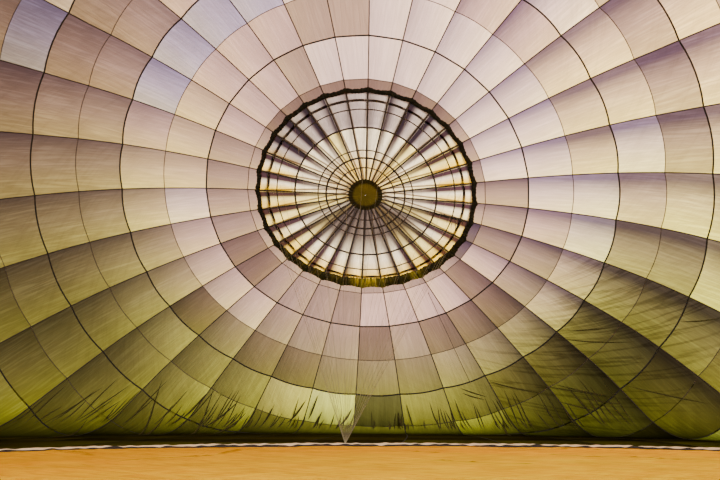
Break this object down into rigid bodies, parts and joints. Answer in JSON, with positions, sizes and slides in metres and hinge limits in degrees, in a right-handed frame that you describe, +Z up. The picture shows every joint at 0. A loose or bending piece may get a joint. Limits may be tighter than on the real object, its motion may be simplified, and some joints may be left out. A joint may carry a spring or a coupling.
{
  "type": "hot air balloon envelope",
  "caption": "Hot air balloon envelope lying on the ground, filled with cold air, with ribbed fabric gores, an open mouth and a parachute valve closing the vent at the crown.",
  "frame": {"origin": "centre of the lying envelope's bounding box, on the ground", "axes": "+Y from the mouth toward the crown, +X to the right as seen through the mouth, +Z up"},
  "size_m": [33.1656, 39.0228, 20.072],
  "materials": {
    "silver_fabric": "coated ripstop, satin",
    "beige_fabric": "coated ripstop, satin",
    "parachute_fabric": "coated ripstop, satin",
    "dark_fabric": "matte",
    "patch_fabric": "matte",
    "webbing": "woven, matte",
    "floor_cloth": "woven, matte",
    "hem_tape": "woven, matte",
    "aluminium": "satin",
    "steel": "satin"
  },
  "bodies": {
    "envelope": {"gore_01": "silver_fabric", "gore_02": "beige_fabric", "gore_03": "silver_fabric", "gore_04": "beige_fabric", "gore_05": "silver_fabric", "gore_06": "beige_fabric", "gore_07": "silver_fabric", "gore_08": "beige_fabric", "gore_09": "silver_fabric", "gore_10": "beige_fabric", "gore_11": "silver_fabric", "gore_12": "beige_fabric", "gore_13": "silver_fabric", "gore_14": "beige_fabric", "gore_15": "silver_fabric", "gore_16": "beige_fabric", "gore_17": "silver_fabric", "gore_18": "beige_fabric", "gore_19": "silver_fabric", "gore_20": "beige_fabric", "gore_21": "silver_fabric", "gore_22": "beige_fabric", "gore_23": "silver_fabric", "gore_24": "beige_fabric", "gore_25": "silver_fabric", "gore_26": "beige_fabric", "gore_27": "silver_fabric", "gore_28": "beige_fabric", "gore_29": "silver_fabric", "gore_30": "beige_fabric", "gore_31": "silver_fabric", "gore_32": "beige_fabric", "gore_19_floor": "silver_fabric", "gore_20_floor": "beige_fabric", "gore_21_floor": "silver_fabric", "gore_22_floor": "beige_fabric", "gore_23_floor": "silver_fabric", "gore_24_floor": "beige_fabric", "gore_25_floor": "silver_fabric", "gore_26_floor": "beige_fabric", "gore_27_floor": "silver_fabric", "gore_28_floor": "beige_fabric", "gore_29_floor": "silver_fabric", "mouth_hem": "dark_fabric", "vent_tapes": "webbing", "crown_ring": "aluminium", "line_ring": "steel", "floor_cloth": "floor_cloth", "floor_cloth_hem": "hem_tape"},
    "parachute": {"parachute_panel": "parachute_fabric", "parachute_edge_band": "dark_fabric", "parachute_centre_patch": "patch_fabric"}
  },
  "joints": [
    {"name": "parachute_valve", "type": "slide", "parent": "envelope", "child": "parachute", "axis": [0, -0.829, -0.5592], "range_m": [0, 2]}
  ]
}
